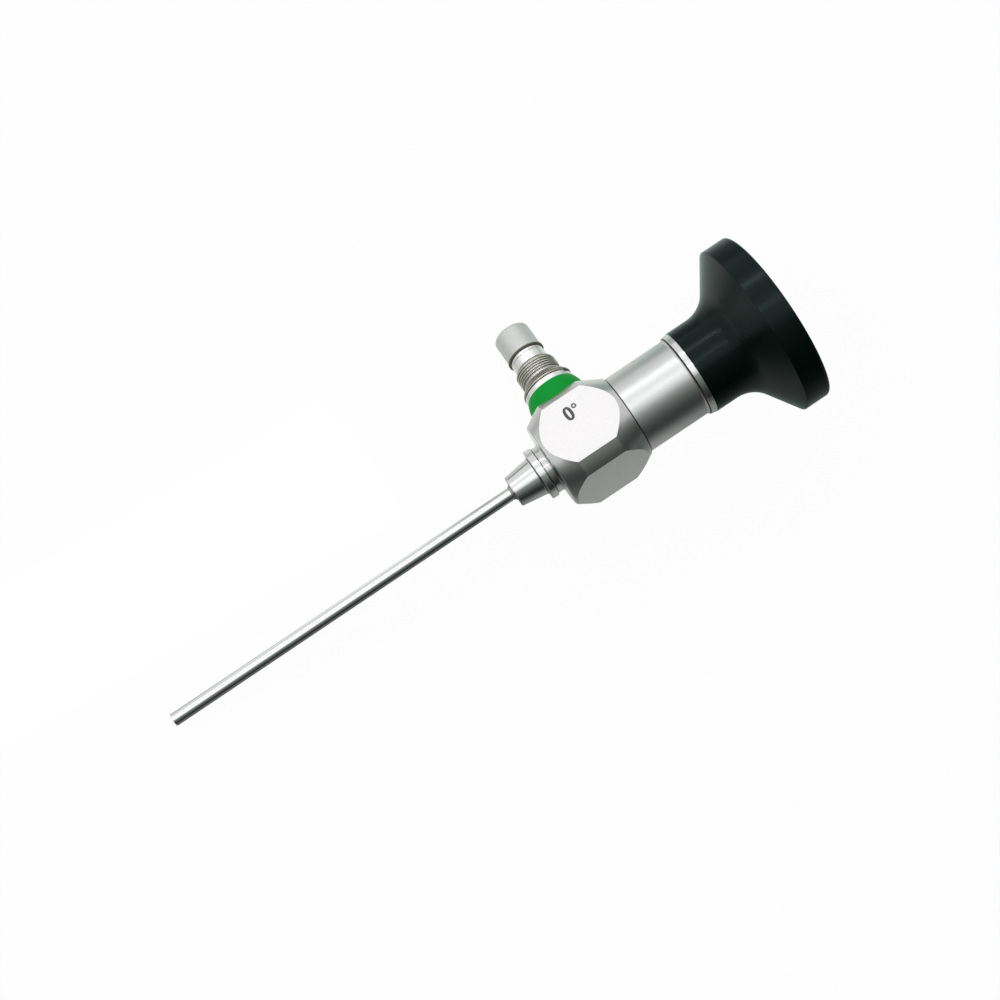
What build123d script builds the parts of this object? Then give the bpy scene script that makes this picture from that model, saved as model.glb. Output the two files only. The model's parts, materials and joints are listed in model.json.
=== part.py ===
"""Rigid rod-lens endoscope, 0 degree view, lying at rest on a table.

Every piece is first made on the optical axis: x runs from the distal tip at 0 to the
eyepiece, y is the light post's direction, and z is the normal of the marked flat.
The whole instrument is then laid down on its three contact points, with +Z up.
Lengths are in millimetres.
"""
import os
from math import asin, atan2, cos, degrees, hypot, radians, sin, sqrt, tan

from build123d import *

# Fits between pieces
fit = 0.02                     # radial clearance of a seated round fit
thread_fit = 0.03              # radial clearance of a screwed joint

# Shaft
shaft_length = 69.3            # distal tip to the coupling cone
tube_diameter = 2.3
tube_wall = 0.15
tube_edge = 0.05               # rounding of the tip's edge
tube_socket = 3.7              # length of tube held in the coupling cone
optic_diameter = 1.6           # inner tube, which holds the lenses
optic_wall = 0.1
solder_length = 0.5
solder_radius = 1.8

# Lenses in the inner tube
window_thickness = 0.4
front_lens_thickness = 0.6
front_lens_hollow = 0.2        # depth of its concave back
objective_gap = 0.8
objective_thickness = 1.8
doublet_thickness = 2.0
lens_bulge = 0.12              # height of a convex lens face
lens_seat = 0.13               # flat rim round a lens face, which the spacers touch
rod_length = 20.0
rod_count = 3

# Fibre bundle
lead_diameter = 1.0
lead_bend = 4.5
gather_length = 1.4            # where the ring of fibres is gathered into the lead
gather_radius = 1.75

# Coupling cone
cone_length = 5.05
cone_tip_radius = 2.82
cone_root_radius = 3.55
cone_edge = 0.3
cone_fillet = 0.45
cone_bore_radius = 1.95
flange_radius = 4.72
flange_width = 1.35
flange_edge = 0.2
spigot_radius = 3.0
spigot_length = 3.6

# Body block
boss_radius = 4.4
boss_length = 1.4
boss_fillet = 0.6
body_length = 15.5
body_radius = 9.94
flat_height = 8.02             # distance of the four flats from the axis
body_front_radius = 7.69
body_back_radius = 7.6
front_cone_angle = 31.4
rear_cone_angle = 28.9
body_edge = 0.7
chamber_wall = 3.1             # between the block's front face and its chamber

# Barrel
barrel_length = 12.15
barrel_radius = 7.28
barrel_edge = 0.15
barrel_bore_radius = 6.0
barrel_spigot_radius = 5.4
barrel_spigot_length = 3.5
barrel_spigot_wall = 1.0
barrel_web = 1.3               # solid length behind the block's back face
lip_radius = 7.68
lip_length = 0.45
cup_thread_radius = 6.9
cup_thread_length = 5.2

# Lock ring between the barrel and the eyecup
lock_ring_width = 1.04
lock_ring_front_radius = 7.7
lock_ring_back_radius = 7.83

# Ocular
mount_length = 14.0
mount_wall_length = 1.5
mount_bore_radius = 4.3
mount_land = 2.5
mount_waist_radius = 5.2
stop_thickness = 0.4
stop_hole_radius = 0.65
ocular_seat = 0.6
ocular_sleeve_length = 7.1
ocular_thickness = 3.0
ocular_front_bulge = 0.5
ocular_back_bulge = 0.7
retainer_length = 1.2

# Eyecup
cup_neck_radius = 7.89
cup_rim_distance = 12.65       # eyecup's front end to the rim's front edge
cup_cone_angle = 55.9
cup_sweep_radius = 5.8
rim_radius = 16.0
rim_width = 4.75
rim_front_edge = 0.2
rim_back_edge = 0.6
rim_lip = 1.8                  # flat back face between the rim's edge and the funnel
funnel_edge = 0.5
cup_shoulder_length = 1.9
cup_aperture_radius = 4.8
glass_radius = 6.0
gasket_thickness = 0.3
glass_thickness = 1.2
glass_ring_width = 1.2
glass_ring_lip = 1.1
funnel_throat_radius = 6.3

# Seals in the barrel's spigots
seal_thickness = 0.44
seal_groove_width = 0.8
seal_inset = 1.2               # from a spigot's end to its groove

# Light post, measured outwards from the flat that carries it
colour_ring_radius = 5.35
colour_ring_top_radius = 4.78
colour_ring_height = 3.68
colour_ring_straight = 1.3
post_stem_radius = 3.7
post_spigot_radius = 3.0
post_spigot_length = 3.6
collar_radius = 4.75
collar_height = 1.0
collar_edge = 0.15
post_nose_radius = 2.6
post_nose_length = 6.3
adapter_flange_radius = 4.75
adapter_flange_height = 0.5
adapter_taper_radius = 4.0
adapter_taper_height = 1.1
adapter_groove_radius = 3.62
adapter_groove_height = 0.6
thread_root_radius = 3.68
thread_height = 2.6
adapter_top_radius = 3.35
adapter_top_height = 0.4
neck_radius = 3.18
neck_height = 2.4
neck_line_height = 1.7         # fine turned line round the polished neck
neck_line_depth = 0.06
end_stem_radius = 2.5
end_stem_length = 4.2
end_seal_radius = 3.5
end_seal_height = 0.3
cap_radius = 3.34
cap_length = 5.2
cap_edge = 0.6
cap_mouth_radius = 2.0
light_window_thickness = 0.7
light_window_radius = 2.45
ferrule_radius = 1.9
ferrule_start = 6.0            # distance of its inner end from the optical axis

# Stations along the optical axis
tube_radius = tube_diameter / 2
tube_bore = tube_radius - tube_wall
optic_radius = optic_diameter / 2
optic_bore = optic_radius - optic_wall
cone_front = shaft_length
tube_end = cone_front + tube_socket
flange_front = cone_front + cone_length
flange_back = flange_front + flange_width
body_front = flange_back + boss_length
body_back = body_front + body_length
body_round_front = body_front + (body_radius - body_front_radius) / tan(radians(front_cone_angle))
body_round_back = body_back - (body_radius - body_back_radius) / tan(radians(rear_cone_angle))
post_station = (body_round_front + body_round_back) / 2
chamber_front = body_front + chamber_wall
barrel_back = body_back + barrel_length
mount_front = body_back + barrel_web
mount_back = mount_front + mount_length
optic_end = mount_front + mount_wall_length
cup_front = barrel_back + lock_ring_width
cup_thread_end = barrel_back + cup_thread_length
rim_front = cup_front + cup_rim_distance
rim_back = rim_front + rim_width
glass_seat = cup_thread_end + fit + cup_shoulder_length
glass_front = glass_seat + gasket_thickness
glass_back = glass_front + glass_thickness
funnel_throat = glass_back + glass_ring_width
funnel_mouth_radius = rim_radius - rim_lip

# Stations along the light post, from the optical axis
ring_top = flat_height + colour_ring_height
collar_top = ring_top + collar_height
adapter_flange_top = collar_top + adapter_flange_height
groove_bottom = adapter_flange_top + adapter_taper_height
thread_bottom = groove_bottom + adapter_groove_height
thread_top = thread_bottom + thread_height
adapter_top = thread_top + adapter_top_height
nose_end = collar_top + post_nose_length
neck_top = adapter_top + neck_height
cap_bottom = neck_top + end_seal_height
cap_top = cap_bottom + cap_length
stem_end = neck_top + end_stem_length
light_window_top = stem_end + light_window_thickness


def turned(*corners):
    """Solid turned about the axis from (station, radius) corners; a third number rounds one."""
    face = make_face(Polyline(*[corner[:2] for corner in corners], close=True))
    for corner in corners:
        if len(corner) == 3:
            vertex = face.vertices().sort_by_distance((corner[0], corner[1], 0))[0]
            face = fillet(vertex, corner[2])
    return revolve(face, Axis.X)


def tube(start, end, outer, inner):
    """Plain tube between two stations."""
    return turned((start, inner), (end, inner), (end, outer), (start, outer))


def ring_seal(station, inner, thickness):
    """Round-section seal whose inside just clears the given radius."""
    middle = inner + fit / 2 + thickness / 2
    section = Pos(station, middle) * Circle(thickness / 2)
    return revolve(section, Axis.X)


def lens_face(station, rim, rise):
    """Half of a lens face, from its pole at station + rise to its rim; flat for no rise."""
    if rise == 0:
        return Line((station, 0), (station, rim))
    ball = (rim**2 + rise**2) / (2 * rise)
    centre = station + rise - ball
    half = asin(rim / abs(ball)) / 2
    middle = (centre + ball * cos(half), abs(ball) * sin(half))
    return ThreePointArc((station + rise, 0), middle, (station, rim))


def lens(start, end, radius, seat, front_rise, back_rise):
    """Lens whose two faces sit inside flat rims that are seat wide."""
    rim = radius - seat
    front = lens_face(start, rim, front_rise)
    back = lens_face(end, rim, back_rise)
    edge = Polyline((start, rim), (start, radius), (end, radius), (end, rim))
    axis = Line(front @ 0, back @ 0)
    return revolve(make_face(front + edge + back + axis), Axis.X)


# Shaft

def make_outer_tube():
    return turned((0, tube_bore), (tube_end, tube_bore), (tube_end, tube_radius),
                  (0, tube_radius, tube_edge))


def make_inner_tube():
    return tube(0, optic_end, optic_radius, optic_bore)


def make_solder_fillet():
    inner = tube_radius + fit
    start = cone_front - solder_length
    foot = Line((start, inner), (cone_front, inner))
    back = Line((cone_front, inner), (cone_front, solder_radius))
    sweep_line = RadiusArc((cone_front, solder_radius), (start, inner), solder_length * 1.5)
    return revolve(make_face(foot + back + sweep_line), Axis.X)


def make_fibre_bundle():
    """Ring of fibres between the tubes, gathered into one lead that turns up the light post."""
    inner = optic_radius + fit
    outer = tube_bore - fit
    gather_end = tube_end + gather_length
    ring = turned((0, inner), (gather_end, inner), (gather_end, gather_radius), (tube_end, outer), (0, outer))
    lead_radius = lead_diameter / 2
    lead_line = inner + fit + lead_radius
    bend_start = post_station - lead_bend
    lead_start = (tube_end + gather_end) / 2
    along = Line((lead_start, lead_line), (bend_start, lead_line))
    bend = JernArc(along @ 1, along % 1, lead_bend, 90)
    up = Line(bend @ 1, (post_station, stem_end))
    lead = sweep(Plane.YZ.offset(lead_start) * Pos(lead_line, 0) * Circle(lead_radius),
                 path=Wire((along + bend + up).edges()))
    return ring + lead


# Lens train in the inner tube

def make_lens_train():
    """Window, objective, rod lenses and spacers, each seated on the one before it."""
    radius = optic_bore - fit
    bore = radius - lens_seat
    pieces = {}
    station = window_thickness
    pieces["distal_window"] = lens(0, station, radius, lens_seat, 0, 0)
    pieces["front_lens"] = lens(station, station + front_lens_thickness, radius, lens_seat,
                                0, -front_lens_hollow)
    station += front_lens_thickness
    pieces["objective_spacer"] = tube(station, station + objective_gap, radius, bore)
    station += objective_gap
    pieces["objective_lens"] = lens(station, station + objective_thickness, radius, lens_seat,
                                    0, lens_bulge)
    station += objective_thickness
    pieces["objective_ring"] = tube(station, station + objective_gap, radius, bore)
    station += objective_gap
    pieces["objective_doublet"] = lens(station, station + doublet_thickness, radius, lens_seat,
                                       -lens_bulge, lens_bulge)
    station += doublet_thickness
    spacer = (optic_end - station - rod_count * rod_length) / (rod_count + 1)
    for number in range(1, rod_count + 1):
        pieces[f"spacer_tube_{number}"] = tube(station, station + spacer, radius, bore)
        station += spacer
        pieces[f"rod_lens_{number}"] = lens(station, station + rod_length, radius, lens_seat,
                                            -lens_bulge, lens_bulge)
        station += rod_length
    pieces[f"spacer_tube_{rod_count + 1}"] = tube(station, optic_end, radius, bore)
    return pieces


# Coupling cone and body block

def make_coupling_cone():
    return turned((cone_front, tube_radius + fit), (tube_end, tube_radius + fit),
                  (tube_end, cone_bore_radius), (flange_back + spigot_length, cone_bore_radius),
                  (flange_back + spigot_length, spigot_radius), (flange_back, spigot_radius),
                  (flange_back, flange_radius, flange_edge), (flange_front, flange_radius, flange_edge),
                  (flange_front, cone_root_radius, cone_fillet), (cone_front, cone_tip_radius, cone_edge))


def make_body_block():
    """Turned block with four milled flats; the light post is brazed into the one at +y."""
    spigot_bore = spigot_radius + fit
    chamber = barrel_spigot_radius + fit
    block = turned((flange_back, spigot_bore), (chamber_front, spigot_bore), (chamber_front, chamber),
                   (body_back, chamber), (body_back, body_back_radius),
                   (body_round_back, body_radius), (body_round_front, body_radius),
                   (body_front, body_front_radius, body_edge), (body_front, boss_radius, boss_fillet),
                   (flange_back, boss_radius))
    middle = (flange_back + body_back) / 2
    block &= Pos(middle, 0, 0) * Box(2 * body_radius, 2 * flat_height, 2 * flat_height)
    post_bore = Rot(X=-90) * Cylinder(post_spigot_radius + fit, body_radius,
                                      align=(Align.CENTER, Align.CENTER, Align.MIN))
    return block - Pos(post_station, 0, 0) * post_bore


# Barrel, lock ring and ocular

def make_barrel():
    """Ocular tube: a spigot in the block in front, and the eyecup's thread behind."""
    spigot_front = body_back - barrel_spigot_length
    spigot_bore = barrel_spigot_radius - barrel_spigot_wall
    shell = turned((spigot_front, spigot_bore), (mount_front, spigot_bore),
                   (mount_front, barrel_bore_radius), (cup_thread_end, barrel_bore_radius),
                   (cup_thread_end, cup_thread_radius), (barrel_back, cup_thread_radius),
                   (barrel_back, lip_radius), (barrel_back - lip_length, barrel_radius, lip_length),
                   (body_back, barrel_radius, barrel_edge), (body_back, barrel_spigot_radius),
                   (spigot_front, barrel_spigot_radius))
    front_groove = seal_groove(spigot_front + seal_inset, barrel_spigot_radius)
    back_groove = seal_groove(cup_thread_end - seal_inset, cup_thread_radius)
    return shell - front_groove - back_groove


def seal_groove(station, radius):
    """Ring cut out of a spigot for its seal."""
    half = seal_groove_width / 2
    return tube(station - half, station + half, radius + seal_thickness, radius - seal_thickness)


def make_body_seal():
    station = body_back - barrel_spigot_length + seal_inset
    return ring_seal(station, barrel_spigot_radius - seal_thickness, seal_thickness)


def make_eyecup_seal():
    return ring_seal(cup_thread_end - seal_inset, cup_thread_radius - seal_thickness, seal_thickness)


def make_lock_ring():
    bore = cup_thread_radius + thread_fit
    return turned((barrel_back, bore), (cup_front, bore), (cup_front, lock_ring_back_radius),
                  (barrel_back, lock_ring_front_radius, barrel_edge))


def make_ocular_mount():
    """Lens cell: the inner tube is cemented in its front wall."""
    outer = barrel_bore_radius - fit
    bore = optic_radius + fit
    return turned((mount_front, bore), (optic_end, bore), (optic_end, mount_bore_radius),
                  (mount_back, mount_bore_radius), (mount_back, outer),
                  (mount_back - mount_land, outer), (mount_back - mount_land, mount_waist_radius),
                  (mount_front + mount_land, mount_waist_radius), (mount_front + mount_land, outer),
                  (mount_front, outer))


def make_ocular_stack():
    """Field stop, sleeve, ocular lens and retainer, one behind the other in the lens cell."""
    radius = mount_bore_radius - fit
    bore = radius - ocular_seat
    stop_back = optic_end + stop_thickness
    lens_front = stop_back + ocular_sleeve_length
    lens_back = lens_front + ocular_thickness
    return {
        "field_stop": tube(optic_end, stop_back, radius, stop_hole_radius),
        "ocular_sleeve": tube(stop_back, lens_front, radius, bore),
        "ocular_lens": lens(lens_front, lens_back, radius, ocular_seat,
                            -ocular_front_bulge, ocular_back_bulge),
        "ocular_retainer": tube(lens_back, lens_back + retainer_length, radius, bore),
    }


# Eyecup and its window

def make_eyecup():
    """Moulded cup: neck, swept flare, thick rim, and the funnel that the eye looks into."""
    bore = cup_thread_radius + thread_fit
    shoulder = cup_thread_end + fit
    sweep_corner = rim_front - (rim_radius - cup_neck_radius) / tan(radians(cup_cone_angle))
    return turned((cup_front, bore), (shoulder, bore), (shoulder, cup_aperture_radius),
                  (glass_seat, cup_aperture_radius), (glass_seat, glass_radius),
                  (funnel_throat, glass_radius), (funnel_throat, funnel_throat_radius),
                  (rim_back, funnel_mouth_radius, funnel_edge), (rim_back, rim_radius, rim_back_edge),
                  (rim_front, rim_radius, rim_front_edge), (sweep_corner, cup_neck_radius, cup_sweep_radius),
                  (cup_front, cup_neck_radius))


def make_window_gasket():
    return tube(glass_seat, glass_front, glass_radius - fit, cup_aperture_radius)


def make_eyepiece_window():
    return turned((glass_front, 0), (glass_back, 0), (glass_back, glass_radius - fit),
                  (glass_front, glass_radius - fit))


def make_window_ring():
    return tube(glass_back, funnel_throat, glass_radius - fit, glass_radius - glass_ring_lip)


# Light post, made along x and stood on the body block afterwards

def make_post_base():
    """Steel bush brazed into the block; its collar holds the colour ring down."""
    bore = ferrule_radius + fit
    foot = flat_height - post_spigot_length
    return turned((foot, bore), (nose_end, bore), (nose_end, post_nose_radius),
                  (collar_top, post_nose_radius), (collar_top, collar_radius, collar_edge),
                  (ring_top, collar_radius), (ring_top, post_stem_radius),
                  (flat_height, post_stem_radius), (flat_height, post_spigot_radius),
                  (foot, post_spigot_radius))


def make_colour_ring():
    """Moulded ring with a rounded shoulder that runs in to the collar."""
    inner = post_stem_radius + fit
    straight_top = flat_height + colour_ring_straight
    rise = ring_top - straight_top
    draw_in = colour_ring_radius - colour_ring_top_radius
    shoulder_radius = (rise**2 + draw_in**2) / (2 * draw_in)
    sides = Polyline((straight_top, colour_ring_radius), (flat_height, colour_ring_radius),
                     (flat_height, inner), (ring_top, inner), (ring_top, colour_ring_top_radius))
    shoulder = RadiusArc((straight_top, colour_ring_radius), (ring_top, colour_ring_top_radius),
                         shoulder_radius)
    return revolve(make_face(sides + shoulder), Axis.X)


def make_threaded_adapter():
    """Flanged sleeve screwed on the post's nose, at the root size of its outer thread."""
    bore = post_nose_radius + thread_fit
    return turned((collar_top, bore), (adapter_top, bore), (adapter_top, adapter_top_radius),
                  (thread_top, thread_root_radius), (thread_bottom, thread_root_radius),
                  (thread_bottom, adapter_groove_radius), (groove_bottom, adapter_groove_radius),
                  (groove_bottom, adapter_taper_radius), (adapter_flange_top, adapter_flange_radius),
                  (collar_top, adapter_flange_radius, collar_edge))


def make_end_fitting():
    """Polished neck with the stem that carries the end cap."""
    line = adapter_top + neck_line_height
    waist = neck_radius - neck_line_depth
    nose_bore = post_nose_radius + thread_fit
    bore = ferrule_radius + fit
    return turned((adapter_top, nose_bore), (nose_end + fit, nose_bore), (nose_end + fit, bore),
                  (stem_end, bore), (stem_end, end_stem_radius), (neck_top, end_stem_radius),
                  (neck_top, neck_radius), (line + neck_line_depth, neck_radius), (line, waist),
                  (line - neck_line_depth, neck_radius), (adapter_top, neck_radius))


def make_end_seal():
    return tube(neck_top, cap_bottom, end_seal_radius, end_stem_radius + fit)


def make_end_cap():
    """Sleeve over the stem, with a lip that keeps the light window in."""
    bore = end_stem_radius + fit
    return turned((cap_bottom, bore), (light_window_top, bore), (light_window_top, cap_mouth_radius),
                  (cap_top, cap_mouth_radius), (cap_top, cap_radius, cap_edge), (cap_bottom, cap_radius))


def make_light_window():
    return turned((stem_end, 0), (light_window_top, 0), (light_window_top, light_window_radius),
                  (stem_end, light_window_radius))


def make_fibre_ferrule():
    return tube(ferrule_start, stem_end, ferrule_radius, lead_diameter / 2 + fit)


# Resting place

def lean(along, across, lift):
    """Angle a for which along * sin(a) + across * cos(a) equals lift."""
    return asin(lift / hypot(along, across)) - atan2(across, along)


def resting_plane():
    """Table plane through the tip's edge, the rim's front edge and the light post's end.

    Each of the three edges is a rounded one, so it touches the table with a ring of
    the rounding's radius, whose centre circle is inside the piece.
    """
    tip_ring = tube_radius - tube_edge
    rim_ring = rim_radius - rim_front_edge
    rim_station = rim_front + rim_front_edge * tan(radians(cup_cone_angle) / 2)
    pitch = lean(rim_station - tube_edge, tip_ring - rim_ring, rim_front_edge - tube_edge)
    depth = tip_ring * cos(pitch) - tube_edge * sin(pitch) + tube_edge
    roll = lean(cap_top - cap_edge, cap_radius - cap_edge,
                post_station * sin(pitch) + depth - cap_edge)
    up = Vector(sin(pitch), -sin(roll), sqrt(1 - sin(pitch)**2 - sin(roll)**2))
    forward = Vector(1, 0, 0) - up * sin(pitch)
    print(f"pitch {degrees(pitch):.3f}, roll {degrees(roll):.3f}, axis above the table at the tip {depth:.3f}")
    return Plane(origin=up * -depth, x_dir=forward, z_dir=up)


on_axis = {
    "outer_tube": make_outer_tube(),
    "inner_tube": make_inner_tube(),
    "solder_fillet": make_solder_fillet(),
    "fibre_bundle": make_fibre_bundle(),
    "coupling_cone": make_coupling_cone(),
    "body_block": make_body_block(),
    "barrel": make_barrel(),
    "body_seal": make_body_seal(),
    "eyecup_seal": make_eyecup_seal(),
    "lock_ring": make_lock_ring(),
    "ocular_mount": make_ocular_mount(),
    "eyecup": make_eyecup(),
    "window_gasket": make_window_gasket(),
    "eyepiece_window": make_eyepiece_window(),
    "window_ring": make_window_ring(),
}
on_axis.update(make_lens_train())
on_axis.update(make_ocular_stack())

on_post = {
    "post_base": make_post_base(),
    "colour_ring": make_colour_ring(),
    "threaded_adapter": make_threaded_adapter(),
    "end_fitting": make_end_fitting(),
    "end_seal": make_end_seal(),
    "end_cap": make_end_cap(),
    "light_window": make_light_window(),
    "fibre_ferrule": make_fibre_ferrule(),
}
post_frame = Plane(origin=(post_station, 0, 0), x_dir=(0, 1, 0), z_dir=(0, 0, 1))

pieces = dict(on_axis)
for name, piece in on_post.items():
    pieces[name] = post_frame.location * piece

table = resting_plane()
laid = {name: table.location.inverse() * piece for name, piece in pieces.items()}
box = Compound(children=[Compound(piece.solids()) for piece in laid.values()]).bounding_box()
centring = Pos(-(box.min.X + box.max.X) / 2, -(box.min.Y + box.max.Y) / 2, 0)

os.makedirs("parts", exist_ok=True)
for name, piece in laid.items():
    export_step(centring * piece, f"parts/{name}.step")
print(f"{len(laid)} pieces, box {box.size.X:.2f} x {box.size.Y:.2f} x {box.size.Z:.2f}, lowest {box.min.Z:.4f}")
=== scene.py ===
# %% [markdown]
# # A rigid endoscope, dressed for its picture
#
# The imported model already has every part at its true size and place. This script gives each part a
# finish that is worked out from its position. It adds the small things that the solids leave out,
# which are the thread's ridges and the figure on the label. Then it sets up the floor, the camera
# and the light.

import json
import math

import bpy
from mathutils import Matrix, Vector


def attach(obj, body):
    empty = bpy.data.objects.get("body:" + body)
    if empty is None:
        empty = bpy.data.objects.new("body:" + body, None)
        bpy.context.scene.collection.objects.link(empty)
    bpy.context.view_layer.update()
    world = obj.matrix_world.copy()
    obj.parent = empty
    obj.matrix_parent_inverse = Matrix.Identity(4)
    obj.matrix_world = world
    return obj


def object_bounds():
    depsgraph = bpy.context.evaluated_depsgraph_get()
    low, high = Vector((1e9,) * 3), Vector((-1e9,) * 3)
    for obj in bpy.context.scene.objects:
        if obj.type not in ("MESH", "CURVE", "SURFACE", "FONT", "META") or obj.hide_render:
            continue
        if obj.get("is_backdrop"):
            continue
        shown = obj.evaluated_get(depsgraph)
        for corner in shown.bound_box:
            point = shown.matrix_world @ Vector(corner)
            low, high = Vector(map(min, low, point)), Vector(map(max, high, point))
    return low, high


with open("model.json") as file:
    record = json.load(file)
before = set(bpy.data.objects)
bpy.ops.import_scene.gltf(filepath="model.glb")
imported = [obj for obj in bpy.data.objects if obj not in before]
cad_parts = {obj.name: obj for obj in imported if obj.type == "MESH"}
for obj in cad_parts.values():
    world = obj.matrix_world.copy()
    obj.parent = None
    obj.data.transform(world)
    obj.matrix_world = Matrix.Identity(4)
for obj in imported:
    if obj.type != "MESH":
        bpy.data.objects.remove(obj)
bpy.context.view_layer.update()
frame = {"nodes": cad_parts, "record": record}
nodes, record = frame["nodes"], frame["record"]
print("nodes", len(nodes))

# %% [markdown]
# ## The scope's own axes
#
# Most of the surfaces are round about one of two lines: the optical axis, or the light post's axis.
# So it is easiest to work in millimetres along the scope, with x along the optical axis from the tip,
# y along the light post and z out of the label. These directions could be typed in, but the scope
# lies at a slant, and the record's mounts give them exactly.

# %% find the axes
MM = 0.001
# Places along the optical axis, from the tip.
FLANGE_FRONT, FLANGE_STATION, FLANGE_BACK = 74.35, 75.025, 75.7
BODY_FRONT, BODY_BACK, BARREL_BACK = 77.1, 92.6, 104.75
# Heights above the optical axis: up the light post, and out of the label.
COLLAR_TOP, FLAT_HEIGHT = 12.7, 8.02

mounts = {m["name"]: m for m in record["mounts"]}
x_axis = -Vector(mounts["sheath_flange"]["axis"]).normalized()
y_axis = Vector(mounts["light_inlet"]["axis"]).normalized()
z_axis = x_axis.cross(y_axis).normalized()
tip = Vector(mounts["sheath_flange"]["pos_m"]) - x_axis * FLANGE_STATION * MM
turn = Matrix((x_axis, y_axis, z_axis))
post_station = (Vector(mounts["light_inlet"]["pos_m"]) - tip).dot(x_axis) / MM


def place(x, y, z):
    """A point given in scope millimetres, in the row frame."""
    return tip + (x_axis * x + y_axis * y + z_axis * z) * MM


print("tip", [round(v, 5) for v in tip], "post at", round(post_station, 3))

# %% [markdown]
# ## Short calls for shader nodes
#
# A finish that changes from place to place is a small tree of nodes. Adding and linking them one by
# one takes many lines, so a few short calls do it: each adds a node and hands back its result, which
# is then put into the next call. The floor and the sky use them too.

# %% node tools
WHITE = (1.0, 1.0, 1.0, 1.0)


def linear(*srgb):
    """A colour given as 0 to 255 in sRGB, in linear light."""
    out = []
    for value in srgb:
        c = value / 255
        out.append(c / 12.92 if c <= 0.04045 else ((c + 0.055) / 1.055) ** 2.4)
    return (*out, 1.0)


def fill(tree, socket, value):
    """Links a result into a socket, or sets the socket to a plain value."""
    if isinstance(value, bpy.types.NodeSocket):
        tree.links.new(value, socket)
    else:
        socket.default_value = value


class Tree:
    """Short calls for adding nodes to a shader tree."""

    def __init__(self, tree):
        self.tree = tree

    def node(self, kind, settings=None, **values):
        """Adds a node. An input is given by its name, or by its number as in _0."""
        made = self.tree.nodes.new(kind)
        for key, value in (settings or {}).items():
            setattr(made, key, value)
        for key, value in values.items():
            socket = made.inputs[int(key[1:])] if key[0] == "_" else made.inputs[key]
            fill(self.tree, socket, value)
        return made

    def math(self, operation, a, b=0.0, c=0.0):
        return self.node("ShaderNodeMath", {"operation": operation}, _0=a, _1=b, _2=c).outputs[0]

    def range(self, value, low, high, to_low=0.0, to_high=1.0):
        """Turns low to high into another range, and holds it at both ends."""
        made = self.node("ShaderNodeMapRange", {"clamp": True}, Value=value)
        made.inputs["From Min"].default_value = low
        made.inputs["From Max"].default_value = high
        made.inputs["To Min"].default_value = to_low
        made.inputs["To Max"].default_value = to_high
        return made.outputs[0]

    def between(self, value, low, high):
        """One where the value lies between two numbers, and nought elsewhere."""
        above = self.math("GREATER_THAN", value, low)
        return self.math("MULTIPLY", above, self.math("LESS_THAN", value, high))

    def blend(self, factor, a, b):
        """The first colour where the factor is nought, the second where it is one."""
        made = self.node("ShaderNodeMix", {"data_type": "RGBA"}, _0=factor, _6=a, _7=b)
        return made.outputs[2]


print("steel grey in linear light", [round(v, 3) for v in linear(216, 217, 216)])

# %% [markdown]
# ## A finish that knows the scope's axes
#
# Each finish starts from a Principled shader. Object coordinates stay with the part in every view,
# so the patterns read those. A Mapping node turns them into scope millimetres, so that a turned
# surface can have its fine lines run round the right axis.
#
# Blender's noise lies mostly between 0.3 and 0.7, so a range that is worked out from it runs between
# those two.

# %% finish tools
METRES_TO_MM = 1000.0
NOISE_LOW, NOISE_HIGH = 0.3, 0.7
LINE_DETAIL = 4.0
BUMP_STRENGTH = 0.5


class Look(Tree):
    """A finish that is built step by step. Its x, y and z are in scope millimetres."""

    def __init__(self, name):
        self.material = bpy.data.materials.new(name)
        self.material.use_nodes = True
        super().__init__(self.material.node_tree)
        self.shader = next(n for n in self.tree.nodes if n.type == "BSDF_PRINCIPLED")
        coords = self.node("ShaderNodeTexCoord").outputs["Object"]
        mapping = self.node("ShaderNodeMapping", Vector=coords)
        mapping.inputs["Scale"].default_value = (METRES_TO_MM,) * 3
        mapping.inputs["Rotation"].default_value = turn.to_euler()
        mapping.inputs["Location"].default_value = -(turn @ tip) * METRES_TO_MM
        self.position = mapping.outputs["Vector"]
        split = self.node("ShaderNodeSeparateXYZ", Vector=self.position)
        self.x, self.y, self.z = split.outputs

    def set(self, **values):
        """Sets the shader's inputs. An underscore stands for a space in the name."""
        for key, value in values.items():
            fill(self.tree, self.shader.inputs[key.replace("_", " ")], value)

    def noise(self, scale, detail=3.0):
        made = self.node("ShaderNodeTexNoise", Vector=self.position, Scale=scale, Detail=detail)
        return made.outputs[0]

    def lines(self, along, scale):
        """Fine lines across one coordinate, as a lathe or a brush leaves them."""
        at = self.node("ShaderNodeCombineXYZ", X=along).outputs[0]
        made = self.node("ShaderNodeTexNoise", Vector=at, Scale=scale, Detail=LINE_DETAIL)
        return made.outputs[0]

    def spread(self, noise, low, high):
        """A noise turned into a range of its own."""
        return self.range(noise, NOISE_LOW, NOISE_HIGH, low, high)

    def clouded(self, scale, one, other):
        """Two close colours, given in sRGB, in soft clouds."""
        return self.blend(self.noise(scale), linear(*one), linear(*other))

    def paint(self, mask, colour):
        """Lays a colour over the base colour where the mask is one."""
        under = self.shader.inputs["Base Color"].links[0].from_socket
        self.set(Base_Color=self.blend(mask, under, colour))

    def bump(self, height, depth):
        """Lets the light feel a height. Its depth is in millimetres."""
        values = {"Height": height, "Strength": BUMP_STRENGTH, "Distance": depth * MM}
        self.set(Normal=self.node("ShaderNodeBump", **values).outputs[0])


def dress(look, *names):
    """Gives a finish to CAD nodes."""
    for name in names:
        mesh = nodes[name].data
        mesh.materials.clear()
        mesh.materials.append(look.material)
    print(look.material.name, "on", ", ".join(names))
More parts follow.
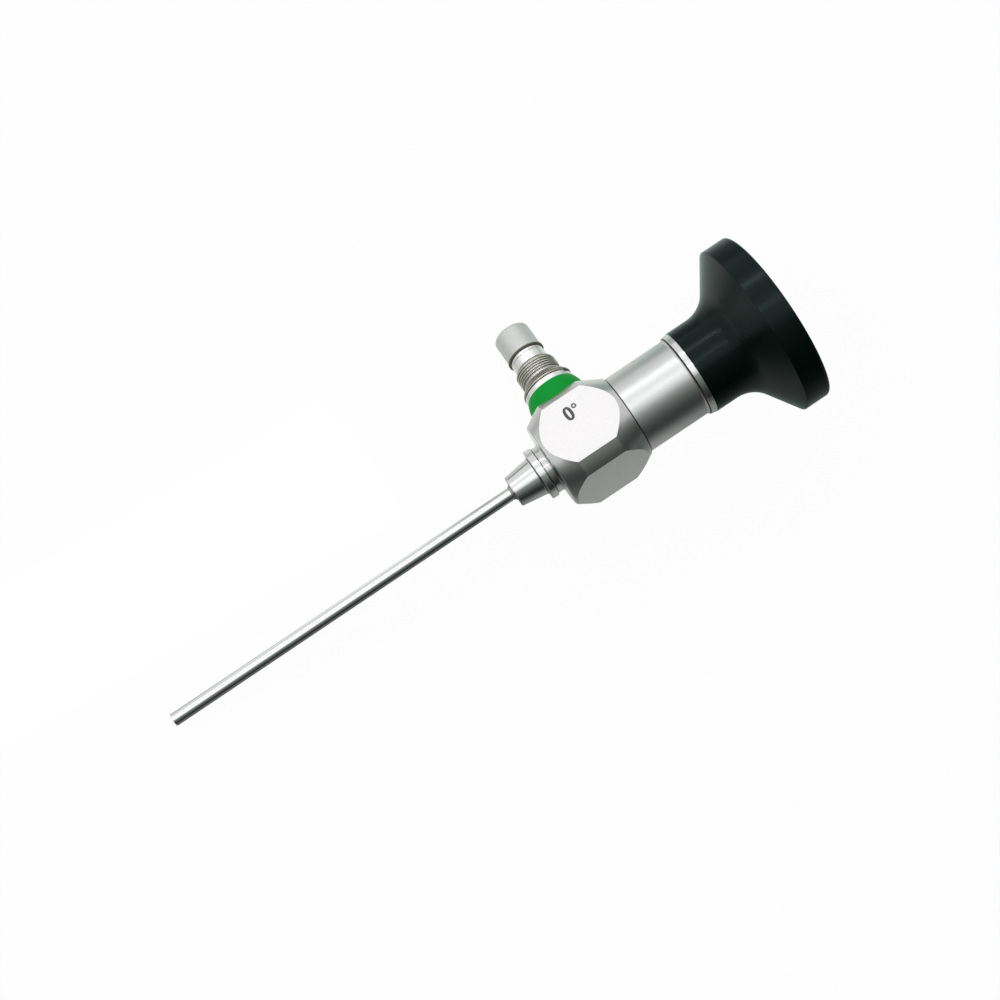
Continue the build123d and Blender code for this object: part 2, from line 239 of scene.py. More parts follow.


# %% [markdown]
# ## Steel
#
# Almost the whole scope is one stainless steel, with several faces: polished on the shaft, turned on
# the cone, brushed on the barrel, and milled and bead blasted on the block. One function makes them
# all. The lines of the tool change how rough the steel is and dent it by a thousandth of a
# millimetre or so, and very soft clouds change its colour a little, so that no face looks like paint.
#
# Where two parts meet, a thin dark line stands for the dirt and the shadow in the gap, so it is
# partly painted shade. It is painted, because a real gap of that width would have to be cut into the
# solids.

# %% steel
STEEL, BRIGHT_STEEL = linear(216, 217, 216), linear(230, 231, 230)
# Painted shade for the thin gaps at joints and for the slot, with less metal where it lies.
GAP_SHADE, GAP_SHADE_METALLIC = linear(44, 39, 32), 0.2
STEEL_CLOUD_SCALE, STEEL_CLOUD_SHADE = 0.35, 0.06


def steel(name, along, roughness, spread, scale, depth, colour=STEEL, grain=0.0):
    """Steel with lines across one coordinate, which is given by its letter."""
    look = Look(name)
    fine = look.lines(getattr(look, along), scale)
    darker = tuple(c * (1 - STEEL_CLOUD_SHADE) for c in colour[:3]) + (1.0,)
    look.set(
        Base_Color=look.blend(look.noise(STEEL_CLOUD_SCALE), colour, darker),
        Metallic=1.0,
        Roughness=look.spread(fine, roughness - spread, roughness + spread),
    )
    look.bump(look.math("MULTIPLY_ADD", look.noise(scale=7.0, detail=4.0), grain, fine), depth)
    return look


def paint_gap_shade(look, mask):
    """Painted shade in a line or slot of steel, where the mask is one."""
    look.paint(mask, GAP_SHADE)
    look.set(Metallic=look.range(mask, 0.0, 1.0, 1.0, GAP_SHADE_METALLIC))


print("steel in two greys", round(STEEL[0], 3), round(BRIGHT_STEEL[0], 3))

# %% [markdown]
# ## The polished shaft and the turned cone
#
# The shaft is a drawn tube, polished until it mirrors the room in long stripes. The cone and the
# narrow ring in front of the eyecup are fine turned, so their reflections are a touch softer. The
# cone has one thin line of painted shade in front of its flange.

# %% shaft and cone
CONE_SHADE_LINE = (FLANGE_FRONT - 0.16, FLANGE_FRONT - 0.02)

polished = steel(
    "polished steel", "x", roughness=0.09, spread=0.02, scale=6.0, depth=0.001, colour=BRIGHT_STEEL
)
dress(polished, "outer_tube", "inner_tube")

turned = steel(
    "turned steel", "x", roughness=0.12, spread=0.03, scale=9.0, depth=0.002, colour=BRIGHT_STEEL
)
# Painted shade: a thin dark line in front of the flange.
turned.paint(turned.between(turned.x, *CONE_SHADE_LINE), GAP_SHADE)
dress(turned, "coupling_cone", "lock_ring")

# %% [markdown]
# ## The brushed barrel
#
# The barrel is brushed round its axis, so its highlight is broad and soft. A brush also leaves a
# grain, which is a second noise on top of the lines. Both ends have a thin band of painted shade at
# the joint.

# %% barrel
GAP_SHADE_WIDTH = 0.24

brushed = steel("brushed steel", "x", roughness=0.34, spread=0.04, scale=7.0, depth=0.003, grain=1.2)
# Painted shade at both joints of the barrel.
front_gap_shade = brushed.math("LESS_THAN", brushed.x, BODY_BACK + GAP_SHADE_WIDTH)
back_gap_shade = brushed.math("GREATER_THAN", brushed.x, BARREL_BACK - GAP_SHADE_WIDTH)
paint_gap_shade(brushed, brushed.math("MAXIMUM", front_gap_shade, back_gap_shade))
dress(brushed, "barrel")

# %% [markdown]
# ## The light post's steel
#
# The bush in the block and the neck under the cap are turned round the post's axis, so their lines
# run across y. At the collar's edge is a small slot, on the side of the eyecup, and it reaches a
# little into the sleeve above. It is only a few pixels of the picture, so it is not cut: its dark
# inside is painted shade.

# %% light post
# Each slot is given by its reach across z, then up the post.
COLLAR_SLOT = ((1.2, 3.1), (12.25, 12.72))
SLEEVE_SLOT = ((1.2, 2.9), (12.6, 12.95))


def spanner_slot(look, across, up_post):
    """One inside a slot on the eyecup's side of the light post."""
    inside = look.math("MULTIPLY", look.between(look.z, *across), look.between(look.y, *up_post))
    return look.math("MULTIPLY", inside, look.math("GREATER_THAN", look.x, post_station))


post_steel = steel(
    "post steel", "y", roughness=0.28, spread=0.04, scale=7.0, depth=0.0015, colour=BRIGHT_STEEL
)
# Painted shade inside the slot at the collar's edge.
paint_gap_shade(post_steel, spanner_slot(post_steel, *COLLAR_SLOT))
dress(post_steel, "post_base", "end_fitting")

# %% [markdown]
# ## The block and its blasted label
#
# The block is one piece of steel with three finishes: milled on its body, polished on the small boss
# in front, and bead blasted on the flat that carries the figure. Three materials would each need
# their own faces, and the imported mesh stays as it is. So one material chooses by position: z finds
# the flat, and x finds the boss. Under all three lies the same relief of tool lines and grain.

# %% block
MILLED = (218, 218, 217), (208, 208, 207)
BLASTED = (228, 226, 227), (219, 217, 218)
MILLED_ROUGHNESS, BLASTED_ROUGHNESS = 0.27, 0.45
BOSS_SHARE, BOSS_EDGE = 0.35, 0.3
FLANGE_JOINT = FLANGE_BACK + 0.1
FLAT_MARGIN = 0.02
LINES_SHARE, GRAIN_SHARE = 0.6, 0.4

block = Look("block steel")
on_label = block.math("GREATER_THAN", block.z, FLAT_HEIGHT - FLAT_MARGIN)
roughness = block.range(on_label, 0.0, 1.0, MILLED_ROUGHNESS, BLASTED_ROUGHNESS)
boss_polish = block.range(block.x, BODY_FRONT, BODY_FRONT + BOSS_EDGE, BOSS_SHARE, 1.0)
milled = block.clouded(1.2, *MILLED)
blasted = block.clouded(1.6, *BLASTED)
block.set(
    Base_Color=block.blend(on_label, milled, blasted),
    Metallic=1.0,
    Roughness=block.math("MULTIPLY", roughness, boss_polish),
)
# Painted shade: a thin dark band at the block's front, where it meets the cone's flange.
block.paint(block.math("LESS_THAN", block.x, FLANGE_JOINT), GAP_SHADE)
tool_lines = block.math("MULTIPLY", block.lines(block.x, scale=6.0), LINES_SHARE)
grain = block.math("MULTIPLY", block.noise(scale=9.0, detail=4.0), GRAIN_SHARE)
block.bump(block.math("ADD", tool_lines, grain), depth=0.011)
dress(block, "body_block")

# %% [markdown]
# ## The dark sleeve
#
# The sleeve over the light post is a duller, slightly brown steel. At its seam over the collar lies
# a thin band of painted shade, and its flange has three fine lines of painted shade, as in grooves.
# Above them runs a bright groove. All are bands across y, so a few comparisons make them.

# %% dark sleeve
BRIGHT_GROOVE, BRIGHT_GROOVE_COLOUR = (14.34, 14.86), linear(192, 192, 188)
FLANGE_GROOVE_SHADES = ((13.14, 13.31), (13.72, 13.88), (14.2, 14.34))
SEAM_SHADE_TOP = COLLAR_TOP + 0.11
STAIN_LIGHT, STAIN_DARK = linear(182, 179, 169), linear(150, 147, 136)

sleeve = Look("dark sleeve steel")
stained = sleeve.blend(sleeve.lines(sleeve.y, scale=5.0), STAIN_LIGHT, STAIN_DARK)
in_groove = sleeve.between(sleeve.y, *BRIGHT_GROOVE)
# Painted shade: below the seam, in the flange's grooves and in the slot.
dark = sleeve.math("LESS_THAN", sleeve.y, SEAM_SHADE_TOP)
for low, high in FLANGE_GROOVE_SHADES:
    dark = sleeve.math("MAXIMUM", dark, sleeve.between(sleeve.y, low, high))
dark = sleeve.math("MAXIMUM", dark, spanner_slot(sleeve, *SLEEVE_SLOT))
sleeve.set(
    Base_Color=sleeve.blend(in_groove, stained, BRIGHT_GROOVE_COLOUR),
    Metallic=1.0,
    Roughness=sleeve.spread(sleeve.lines(sleeve.y, scale=8.0), 0.26, 0.38),
)
sleeve.paint(dark, GAP_SHADE)
dress(sleeve, "threaded_adapter")

# %% [markdown]
# ## The satin cap
#
# The cap is blasted to an even light grey, so even that it looks almost like paint. A metal would
# mirror the sky's dark band, so the finish is only about half metal.

# %% cap
CAP_GREYS = (204, 206, 203), (198, 200, 197)

cap = Look("satin cap")
cap.set(
    Base_Color=cap.clouded(0.6, *CAP_GREYS),
    Metallic=0.55,
    Roughness=cap.spread(cap.noise(8.0), 0.42, 0.5),
)
dress(cap, "end_cap")

# %% [markdown]
# ## The black eyecup
#
# The cup is black plastic with soft lathe lines and a faint mottle. Black plastic is seldom quite
# black: here its body is a very dark green, and its shine is a little blue. The low specular level
# keeps the white floor from turning it grey.

# %% eyecup
CUP_DARKS = (2, 16, 9), (1, 12, 7)
CUP_SHINE = (0.74, 0.95, 1.0, 1.0)
MOTTLE_SHARE, LATHE_SHARE = 0.6, 0.4

plastic = Look("black plastic")
lathe = plastic.lines(plastic.x, scale=3.0)
plastic.set(
    Base_Color=plastic.clouded(0.3, *CUP_DARKS),
    Roughness=plastic.spread(lathe, 0.12, 0.22),
    Specular_IOR_Level=0.2,
    Specular_Tint=CUP_SHINE,
)
lathe_share = plastic.math("MULTIPLY", lathe, LATHE_SHARE)
mottle = plastic.math("MULTIPLY_ADD", plastic.noise(3.5), MOTTLE_SHARE, lathe_share)
plastic.bump(mottle, depth=0.05)
dress(plastic, "eyecup")

# %% [markdown]
# ## The green ring
#
# On many scopes the ring's colour tells the view angle, and green is the straight view. The ring is
# a plain satin plastic with next to no shine, so a low specular level does more than roughness would.

# %% colour ring
RING_GREENS = (3, 152, 52), (2, 145, 49)

green = Look("green plastic")
green.set(
    Base_Color=green.clouded(0.8, *RING_GREENS),
    Roughness=green.spread(green.noise(6.0), 0.42, 0.5),
    Specular_IOR_Level=0.1,
)
dress(green, "colour_ring")

# %% [markdown]
# ## Seals and solder
#
# The hidden round seals are black rubber, and the one that shows under the cap is olive. The solder
# at the shaft's root is a dull grey metal without tool lines, so it has clouds alone.

# %% seals and solder
RUBBER_BLACKS = (34, 35, 35), (26, 27, 27)
OLIVES = (88, 84, 72), (76, 73, 62)
SOLDER_GREYS = (178, 178, 174), (160, 160, 156)

rubber = Look("seal rubber")
rubber.set(
    Base_Color=rubber.clouded(2.0, *RUBBER_BLACKS),
    Roughness=rubber.spread(rubber.noise(8.0), 0.5, 0.62),
)
dress(rubber, "body_seal", "eyecup_seal", "window_gasket")

olive = Look("olive rubber")
olive.set(
    Base_Color=olive.clouded(2.0, *OLIVES),
    Roughness=olive.spread(olive.noise(8.0), 0.45, 0.55),
)
dress(olive, "end_seal")

solder = Look("solder")
solder.set(
    Base_Color=solder.clouded(3.0, *SOLDER_GREYS),
    Metallic=1.0,
    Roughness=solder.spread(solder.noise(5.0), 0.28, 0.4),
)
dress(solder, "solder_fillet")

# %% [markdown]
# ## The cells that hold the lenses
#
# All that holds a lens is anodised black, so that stray light dies inside. Most of it can't be seen,
# but the ring round the eyepiece window can, so it has a finish like everything else.

# %% lens cells
CELL_BLACKS = (38, 39, 41), (30, 31, 33)
SPACER_TUBES = [f"spacer_tube_{i}" for i in range(1, 5)]
OCULAR_CELL = ["ocular_mount", "field_stop", "ocular_sleeve", "ocular_retainer", "window_ring"]

anodised = Look("black anodised cell")
anodised.set(
    Base_Color=anodised.clouded(1.0, *CELL_BLACKS),
    Metallic=0.6,
    Roughness=anodised.spread(anodised.noise(7.0), 0.4, 0.5),
)
dress(anodised, *OCULAR_CELL, "fibre_ferrule", "objective_spacer", "objective_ring", *SPACER_TUBES)

# %% [markdown]
# ## Glass and light fibres
#
# The lenses and windows are coated, so they look green from the front and violet at a slant. Layer
# Weight gives that slant, and it is fine in other views because gloss does depend on it. The light
# fibres end in a dense pattern of tiny bright dots, which a Voronoi texture makes.

# %% glass and fibres
COATING_FRONT, COATING_SLANT = linear(226, 238, 232), linear(214, 205, 235)
FIBRE_CORE, FIBRE_GAP = linear(222, 216, 190), linear(120, 112, 92)
FIBRE_EDGE = (0.1, 0.6)
WINDOWS = ["eyepiece_window", "distal_window", "light_window"]
LENSES = ["front_lens", "objective_lens", "objective_doublet", "ocular_lens"]
ROD_LENSES = [f"rod_lens_{i}" for i in range(1, 4)]

glass = Look("coated glass")
slant = glass.node("ShaderNodeLayerWeight", Blend=0.3).outputs["Facing"]
glass.set(
    Base_Color=glass.blend(slant, COATING_FRONT, COATING_SLANT),
    Roughness=glass.spread(glass.noise(4.0), 0.02, 0.04),
    Transmission_Weight=1.0,
    IOR=1.52,
)
dress(glass, *WINDOWS, *LENSES, *ROD_LENSES)

fibre = Look("fibre glass")
dots = fibre.node("ShaderNodeTexVoronoi", Vector=fibre.position, Scale=14.0).outputs["Distance"]
fibre.set(
    Base_Color=fibre.blend(fibre.range(dots, *FIBRE_EDGE), FIBRE_CORE, FIBRE_GAP),
    Roughness=fibre.spread(fibre.noise(9.0), 0.2, 0.3),
)
dress(fibre, "fibre_bundle")
print("materials", len(bpy.data.materials))

# %% [markdown]
# ## The view angle on the label
#
# The figure stands for the straight view. It could be typed with a font and turned into a mesh, but a
# zero is only an oval ring and a degree sign a round one. So one function makes both, as a flat ring
# that stands a hundredth of a millimetre over the flat. A power above two squares the oval a little,
# as in engraved figures.

# %% label marks
INK_GREYS = (62, 63, 64), (84, 85, 86)
INK_LOW, INK_HIGH = FLAT_HEIGHT - 0.002, FLAT_HEIGHT + 0.012
RING_STEPS = 72

ink = Look("label ink")
ink.set(
    Base_Color=ink.clouded(3.0, *INK_GREYS),
    Roughness=ink.spread(ink.noise(9.0), 0.45, 0.6),
)


def add_piece(name, mesh):
    """Puts a finished mesh in the scene, as a piece of the scope."""
    made = bpy.data.objects.new(name, mesh)
    bpy.context.scene.collection.objects.link(made)
    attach(made, "root")
    return made


def oval(centre, half_width, half_height, power):
    """Points round an oval, in scope millimetres."""
    points = []
    for i in range(RING_STEPS):
        a = 2 * math.pi * i / RING_STEPS
        c, s = math.cos(a), math.sin(a)
        sx = math.copysign(abs(c) ** (2 / power), c)
        sy = math.copysign(abs(s) ** (2 / power), s)
        points.append((centre[0] + half_width * sx, centre[1] + half_height * sy))
    return points


def oval_ring(name, centre, half_width, half_height, side, top, power=2.0):
    """A flat raised ring on the label: side and top are its stroke widths."""
    outer = oval(centre, half_width, half_height, power)
    inner = oval(centre, half_width - side, half_height - top, power)
    loops = [(outer, INK_LOW), (outer, INK_HIGH), (inner, INK_HIGH), (inner, INK_LOW)]
    verts = [place(x, y, z) for loop, z in loops for x, y in loop]
    faces = []
    for k in range(4):
        a, b = k * RING_STEPS, (k + 1) % 4 * RING_STEPS
        for i in range(RING_STEPS):
            j = (i + 1) % RING_STEPS
            faces.append((a + i, a + j, b + j, b + i))
    mesh = bpy.data.meshes.new(name)
    mesh.from_pydata(verts, [], faces)
    mesh.update()
    mesh.materials.append(ink.material)
    return add_piece(name, mesh)


zero = oval_ring("label_zero", (84.15, 2.54), 0.8, 1.36, side=0.56, top=0.42, power=2.3)
degree = oval_ring("label_degree", (85.6, 3.28), 0.46, 0.46, side=0.25, top=0.25)
print("label marks", len(zero.data.polygons), "and", len(degree.data.polygons), "faces")

# %% [markdown]
# ## The finish of the thread's ridges
#
# A thread looks striped because light catches its crests, while its feet are a darker olive. So the
# colour follows the distance from the post's axis, which is the root of two squares, and the crests
# get a painted highlight.

# %% ridge finish
THREAD = {"Rotations": 5.0, "Radius": 3.7, "Height": 2.45, "Start": 15.03, "Ridge": 0.17}
CREST_HEIGHT = 0.16
RIDGE_FOOT, RIDGE_CREST_HIGHLIGHT = linear(108, 105, 94), linear(226, 224, 217)

ridge_steel = steel("thread steel", "y", roughness=0.28, spread=0.04, scale=8.0, depth=0.002)
from_post = ridge_steel.math("SUBTRACT", ridge_steel.x, post_station)
z_square = ridge_steel.math("MULTIPLY", ridge_steel.z, ridge_steel.z)
both_squares = ridge_steel.math("MULTIPLY_ADD", from_post, from_post, z_square)
radius = ridge_steel.math("SQRT", both_squares)
# Painted highlight on the crests, over the darker olive of the feet.
crest_highlight = ridge_steel.range(radius, THREAD["Radius"], THREAD["Radius"] + CREST_HEIGHT)
ridge_steel.set(Base_Color=ridge_steel.blend(crest_highlight, RIDGE_FOOT, RIDGE_CREST_HIGHLIGHT))
print("ridge crests at", THREAD["Radius"] + CREST_HEIGHT, "mm")

# %% [markdown]
# ## The thread's ridges
#
# A ridge is a small profile that runs along a helix, which Geometry Nodes sweep in a few nodes. The
# profile has only four sides, because a ridge is a third of a millimetre wide. A curve shrinks it at
# both ends, where a real thread runs out.

# %% helix group
HELIX_STEPS, PROFILE_SIDES = 96, 4
RUN_OUT_SIZE = 0.15
FULL_FROM, FULL_TO = 0.06, 0.94


def helix_group(look):
    """A geometry group: a helix swept with a ring of few sides."""
    group = bpy.data.node_groups.new("thread ridges", "GeometryNodeTree")
    face = group.interface
    face.new_socket("Geometry", in_out="OUTPUT", socket_type="NodeSocketGeometry")
    sockets = {}
    for name in ("Rotations", "Radius", "Height", "Ridge"):
        item = face.new_socket(name, in_out="INPUT", socket_type="NodeSocketFloat")
        sockets[name] = item.identifier
    add, link = group.nodes.new, group.links.new
    source, sink = add("NodeGroupInput"), add("NodeGroupOutput")
    spiral = add("GeometryNodeCurveSpiral")
    spiral.inputs["Resolution"].default_value = HELIX_STEPS
    for end in ("Start Radius", "End Radius"):
        link(source.outputs["Radius"], spiral.inputs[end])
    link(source.outputs["Rotations"], spiral.inputs["Rotations"])
    link(source.outputs["Height"], spiral.inputs["Height"])
    upright = add("GeometryNodeSetCurveNormal")
    upright.mode = "Z_UP"
    link(spiral.outputs[0], upright.inputs["Curve"])
    profile = add("GeometryNodeCurvePrimitiveCircle")
    profile.inputs["Resolution"].default_value = PROFILE_SIDES
    link(source.outputs["Ridge"], profile.inputs["Radius"])
    along, shape = add("GeometryNodeSplineParameter"), add("ShaderNodeFloatCurve")
    link(along.outputs["Factor"], shape.inputs["Value"])
    curve = shape.mapping.curves[0]
    curve.points[0].location = (0.0, RUN_OUT_SIZE)
    curve.points[1].location = (1.0, RUN_OUT_SIZE)
    curve.points.new(FULL_FROM, 1.0)
    curve.points.new(FULL_TO, 1.0)
    shape.mapping.update()
    sweep = add("GeometryNodeCurveToMesh")
    sweep.inputs["Fill Caps"].default_value = True
    link(upright.outputs[0], sweep.inputs["Curve"])
    link(profile.outputs[0], sweep.inputs["Profile Curve"])
    link(shape.outputs[0], sweep.inputs["Scale"])
    realize, finish = add("GeometryNodeRealizeInstances"), add("GeometryNodeSetMaterial")
    finish.inputs["Material"].default_value = look.material
    link(sweep.outputs[0], realize.inputs[0])
    link(realize.outputs[0], finish.inputs["Geometry"])
    link(finish.outputs[0], sink.inputs[0])
    return group, sockets


group, sockets = helix_group(ridge_steel)
print("helix group with", len(group.nodes), "nodes")

# %% [markdown]
# ## From the group to a plain piece
#
# The group runs once, on an empty carrier. Its result is copied into a plain mesh, the modifier and
# the carrier go, and a matrix moves the mesh from the group's own upright axis to the light post.

# %% grow the ridges


def grown(name, group, sockets, values, matrix):
    """Runs a geometry group once and gives the result as a plain mesh in the row frame."""
    source_name = name + "_source"
    carrier = bpy.data.objects.new(source_name, bpy.data.meshes.new(source_name))
    bpy.context.scene.collection.objects.link(carrier)
    modifier = carrier.modifiers.new("grow", "NODES")
    modifier.node_group = group
    for key, value in values.items():
        modifier[sockets[key]] = value
    seen = carrier.evaluated_get(bpy.context.evaluated_depsgraph_get())
    mesh = bpy.data.meshes.new_from_object(seen)
    carrier.modifiers.remove(modifier)
    bpy.data.objects.remove(carrier)
    mesh.name = name
    mesh.transform(matrix)
    return mesh


post_turn = Matrix((x_axis, y_axis.cross(x_axis), y_axis)).transposed()
to_post = post_turn.to_4x4() @ Matrix.Scale(MM, 4)
to_post.translation = place(post_station, THREAD["Start"], 0)
values = {key: value for key, value in THREAD.items() if key in sockets}
ridge_mesh = grown("thread_ridges", group, sockets, values, to_post)
ridges = add_piece("thread_ridges", ridge_mesh)
print("thread ridges", len(ridges.data.polygons), "faces")

# %% [markdown]
# ## The floor
#
# The floor is a white sheet that keeps the scope's soft shadow. Light Path tells its material which
# kind of ray asks, so that the camera and the glass see it glow an even white.
#
# Metal is harder. It mirrors all that stands round it, and on an evenly white floor the barrel turns
# pale. So in reflections the floor glows by place, as if dark cards lay on it. It grows brighter from
# the near side towards the scope and falls again beyond it, and it is dimmer under the shaft and the
# eyecup. It also has a slight green tint, which turns to teal at the eyecup's end. The ramps were
# found by trying, until the stripes on the shaft and the barrel came out right.

# %% floor ramps
FLOOR_SIZE = 3.0
FLOOR_PAINT = (0.85, 0.85, 0.85, 1.0)
CAMERA_SHARE, MIRROR_SHARE = 0.97, 0.9
FLOOR_IN_METAL, FLOOR_IN_PLASTIC = (0.965, 1.0, 0.96, 1.0), (0.8, 1.0, 0.96, 1.0)
# Each ramp has its two places on the floor in metres, then the brightness at each.
# These run across the floor, along the light post's direction.
FLOOR_OUTER = (-0.10, -0.045, 0.04, 0.26)
FLOOR_INNER = (-0.045, -0.015, 0.0, 0.22)
FLOOR_LAMP_SIDE = (-0.008, 0.004, 0.0, 0.45)
FLOOR_BEYOND = (0.02, 0.045, 0.0, -0.33)
# These run along it and multiply the brightness, the first one only that on the lamps' side.
FLOOR_BESIDE_SHAFT = (-0.012, 0.002, 2.2, 1.0)
FLOOR_UNDER_SHAFT = (0.002, 0.018, 0.2, 1.0)
FLOOR_UNDER_CUP = (0.034, 0.05, 1.0, 0.5)
FLOOR_TURNS_TEAL = (0.042, 0.052)


def floor_level(ground, across, along):
    """How brightly the floor glows in reflections."""
    level = ground.range(across, *FLOOR_OUTER)
    level = ground.math("ADD", level, ground.range(across, *FLOOR_INNER))
    level = ground.math("MULTIPLY", level, ground.range(along, *FLOOR_UNDER_SHAFT))
    level = ground.math("MULTIPLY", level, ground.range(along, *FLOOR_UNDER_CUP))
    lamp_side = ground.range(across, *FLOOR_LAMP_SIDE)
    level = ground.math("MULTIPLY_ADD", lamp_side, ground.range(along, *FLOOR_BESIDE_SHAFT), level)
    return ground.math("ADD", level, ground.range(across, *FLOOR_BEYOND))


print("floor ramps ready")

# %% [markdown]
# ## The floor's material
#
# Two shaders are mixed: plain paint, which takes the shadow, and a glow. The camera gets almost only
# glow, reflections get mostly glow, and the soft light that bounces off the floor gets paint alone,
# so the white background puts no extra light on the scope.

# %% floor
half = FLOOR_SIZE / 2
corners = [(-half, -half, 0), (half, -half, 0), (half, half, 0), (-half, half, 0)]
floor_mesh = bpy.data.meshes.new("floor")
floor_mesh.from_pydata(corners, [], [(0, 1, 2, 3)])
floor = bpy.data.objects.new("floor", floor_mesh)
bpy.context.scene.collection.objects.link(floor)
floor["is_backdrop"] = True

floor_material = bpy.data.materials.new("floor")
floor_material.use_nodes = True
floor_material.node_tree.nodes.clear()
ground = Tree(floor_material.node_tree)
rays = ground.node("ShaderNodeLightPath").outputs
where = ground.node("ShaderNodeTexCoord").outputs["Object"]
dot = ground.node("ShaderNodeVectorMath", {"operation": "DOT_PRODUCT"}, _0=where, _1=y_axis)
along_floor = ground.node("ShaderNodeSeparateXYZ", Vector=where).outputs[0]
level = floor_level(ground, dot.outputs["Value"], along_floor)
seen = ground.math("MAXIMUM", rays["Is Camera Ray"], rays["Is Transmission Ray"])
to_teal = ground.range(along_floor, *FLOOR_TURNS_TEAL)
mirrored = ground.blend(to_teal, FLOOR_IN_METAL, FLOOR_IN_PLASTIC)
glow = ground.node(
    "ShaderNodeEmission",
    Color=ground.blend(seen, mirrored, WHITE),
    Strength=ground.math("MAXIMUM", seen, level),
)
paint = ground.node("ShaderNodeBsdfDiffuse", Color=FLOOR_PAINT)
in_mirror = ground.math("MULTIPLY", rays["Is Glossy Ray"], MIRROR_SHARE)
glow_share = ground.math("MULTIPLY_ADD", seen, CAMERA_SHARE, in_mirror)
mix = ground.node("ShaderNodeMixShader", _0=glow_share, _1=paint.outputs[0], _2=glow.outputs[0])
ground.node("ShaderNodeOutputMaterial", Surface=mix.outputs[0])
floor_mesh.materials.append(floor_material)
print("floor", FLOOR_SIZE, "m wide")

# %% [markdown]
# ## The camera
#
# The camera looks at the label from about 25 degrees off its normal, a third of a metre away. Its
# place could be typed as a point and three angles, but those say nothing to a reader. So it is built
# from the scope's axes: how far it tilts and leans off the label's normal, and how far the shaft is
# turned in the picture.

# %% camera
LENS, SENSOR_WIDTH = 67.7, 36.0
CAMERA_DISTANCE = 319.7
CAMERA_TILT, CAMERA_LEAN = math.radians(25.51), math.radians(0.67)
IMAGE_TURN, SMALL_ROLL = math.radians(33.3), math.radians(0.58)
LOOK_AT = (66.69, 0.19, 0.0)


def direction(x, y, z):
    """A direction given in the scope's axes, in the row frame."""
    return (x_axis * x + y_axis * y + z_axis * z).normalized()


to_camera = direction(
    -math.sin(CAMERA_LEAN),
    -math.cos(CAMERA_LEAN) * math.sin(CAMERA_TILT),
    math.cos(CAMERA_LEAN) * math.cos(CAMERA_TILT),
)
ahead = -to_camera
along = (x_axis - ahead * x_axis.dot(ahead)).normalized()
below = ahead.cross(along)
roll = SMALL_ROLL + IMAGE_TURN
right = along * math.cos(roll) + below * math.sin(roll)
down = below * math.cos(roll) - along * math.sin(roll)
camera_data = bpy.data.cameras.new("camera")
camera_data.lens, camera_data.sensor_width = LENS, SENSOR_WIDTH
camera = bpy.data.objects.new("camera", camera_data)
bpy.context.scene.collection.objects.link(camera)
pose = Matrix((right, -down, to_camera)).transposed().to_4x4()
pose.translation = place(*LOOK_AT) + to_camera * CAMERA_DISTANCE * MM
camera.matrix_world = pose
bpy.context.scene.camera = camera
print("camera elevation", round(math.degrees(math.asin(to_camera.z)), 2))

# %% [markdown]
# ## The soft boxes
#
# Two soft boxes hang over the scope, side by side, and each has a bright core. The boxes light the
# label evenly, and the cores draw the narrow streaks on the barrel, the cap and the eyecup. On round
# metal a lamp shows as a stripe, and its angle round the scope says where the stripe lies. So a lamp
# is given by the angles that it fills, and its size and place follow from them.

# %% soft boxes
# Each lamp has its first and last angle from the camera in degrees, then its radiance.
LAMPS = {
    "upper_softbox": (-62.0, -35.0, 0.17),
    "lower_softbox": (-31.5, 0.0, 0.22),
    "upper_core": (-53.5, -50.5, 3.6),
    "lower_core": (-18.5, -15.5, 2.0),
}
LAMPS_HANG_OVER = (75, 0, 0)
LAMP_DISTANCE, LAMP_LENGTH = 0.5, 0.9
WATTS_PER_RADIANCE = 4.0
round_axis = direction(0, -math.cos(CAMERA_TILT), -math.sin(CAMERA_TILT))


def softbox(name, start, end, radiance):
    """A soft lamp that fills the given angles round the scope."""
    middle, half_angle = math.radians((start + end) / 2), math.radians((end - start) / 2)
    toward = (to_camera * math.cos(middle) + round_axis * math.sin(middle)).normalized()
    data = bpy.data.lights.new(name, "AREA")
    data.shape = "RECTANGLE"
    data.size, data.size_y = 2 * LAMP_DISTANCE * math.tan(half_angle), LAMP_LENGTH
    data.energy = WATTS_PER_RADIANCE * radiance * data.size * data.size_y
    lamp = bpy.data.objects.new(name, data)
    bpy.context.scene.collection.objects.link(lamp)
    side = x_axis.cross(toward).normalized()
    pose = Matrix((side, toward.cross(side), toward)).transposed().to_4x4()
    pose.translation = place(*LAMPS_HANG_OVER) + toward * LAMP_DISTANCE
    lamp.matrix_world = pose
    print(name, round(data.energy, 3), "W")


for name, facts in LAMPS.items():
    softbox(name, *facts)

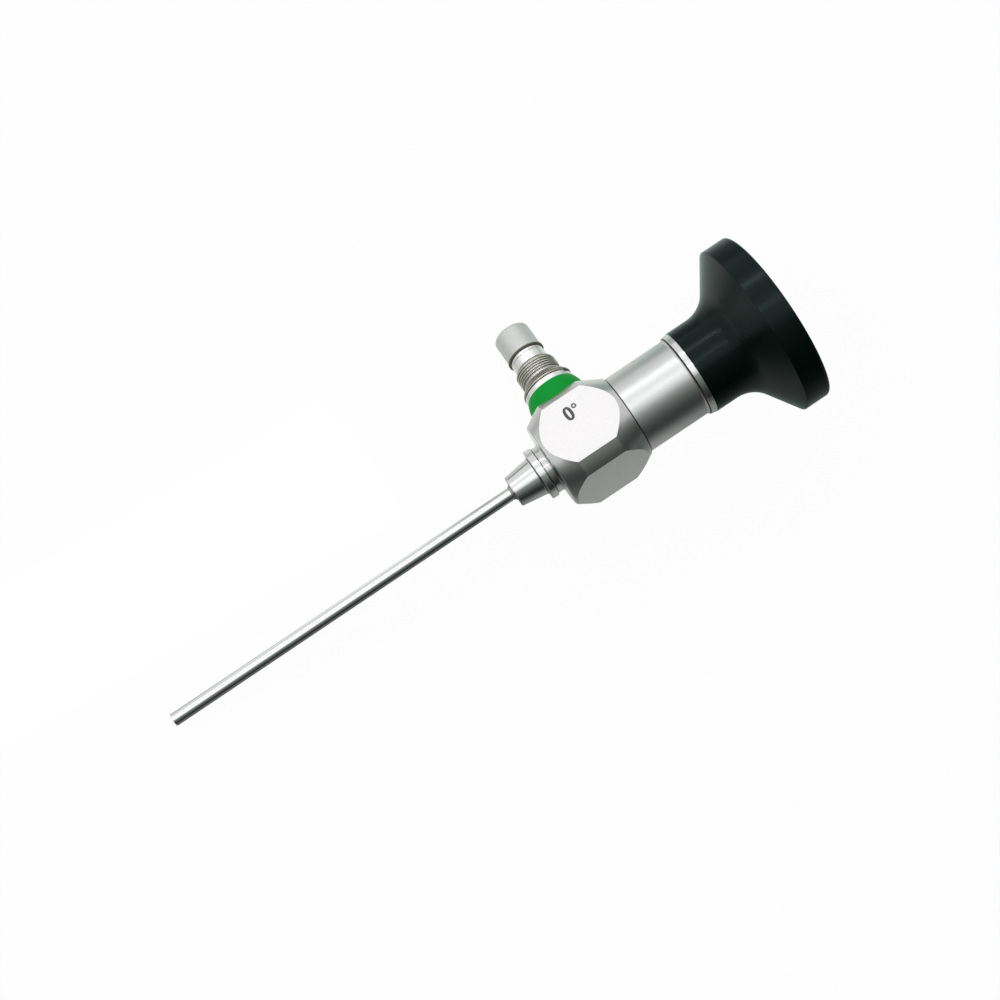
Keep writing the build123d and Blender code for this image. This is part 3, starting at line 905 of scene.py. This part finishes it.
# %% [markdown]
# ## The sky
#
# Polished steel needs something dark to mirror, or it looks like white plastic. So the sky is a ring
# of tones round the scope. It is bright on the lamps' side. Past the camera it drops within twelve
# degrees to a third, fades slowly to almost nothing, and is bright again a quarter turn away. The
# sharp drop makes the crisp edge of the shaft's dark stripe. A picture of a studio could be used, but
# ramps on one angle are easier to set. The camera and the glass see plain white instead.

# %% sky
SKY, DIM, DARK = 0.88, 0.33, 0.035
SKY_TINT, DARK_TINT = linear(252, 253, 253), linear(228, 244, 236)
# Angles round the scope from the camera, away from the lamps.
EDGE_START, EDGE_END = math.radians(5), math.radians(17)
DARK_FULL, DARK_FADE, DARK_END = math.radians(74), math.radians(86), math.radians(102)

world = bpy.data.worlds.new("studio")
bpy.context.scene.world = world
world.use_nodes = True
background = world.node_tree.nodes["Background"]
sky = Tree(world.node_tree)
look_along = sky.node("ShaderNodeTexCoord").outputs["Generated"]
rays = sky.node("ShaderNodeLightPath").outputs


def part_along(vector):
    """How far the sky's direction points along a vector."""
    made = sky.node("ShaderNodeVectorMath", {"operation": "DOT_PRODUCT"}, _0=look_along, _1=vector)
    return made.outputs["Value"]


angle = sky.math("ARCTAN2", part_along(round_axis), part_along(to_camera))
fading = sky.range(angle, EDGE_END, DARK_FULL, 1.0, 0.0)
fading = sky.math("MULTIPLY", sky.math("MULTIPLY", fading, fading), DIM)
before = sky.math("MAXIMUM", sky.range(angle, EDGE_START, EDGE_END, 1.0, 0.0), fading)
bright = sky.math("MAXIMUM", before, sky.range(angle, DARK_FADE, DARK_END))
in_view = sky.math("MAXIMUM", rays["Is Camera Ray"], rays["Is Transmission Ray"])
colour = sky.blend(sky.math("MAXIMUM", bright, in_view), DARK_TINT, SKY_TINT)
fill(sky.tree, background.inputs["Color"], colour)
strength = sky.math("MAXIMUM", in_view, sky.range(bright, 0.0, 1.0, DARK, SKY))
fill(sky.tree, background.inputs["Strength"], strength)
print("sky with", len(world.node_tree.nodes), "nodes")

# %% [markdown]
# ## Colour and size
#
# Standard keeps a colour about as it is written, where other view transforms bend it to look like
# film. Last, the size of the dressed scope is printed.

# %% colour and the last lines
bpy.context.scene.view_settings.view_transform = "Standard"
low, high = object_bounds()
print("size", [round(v, 5) for v in (high - low)])
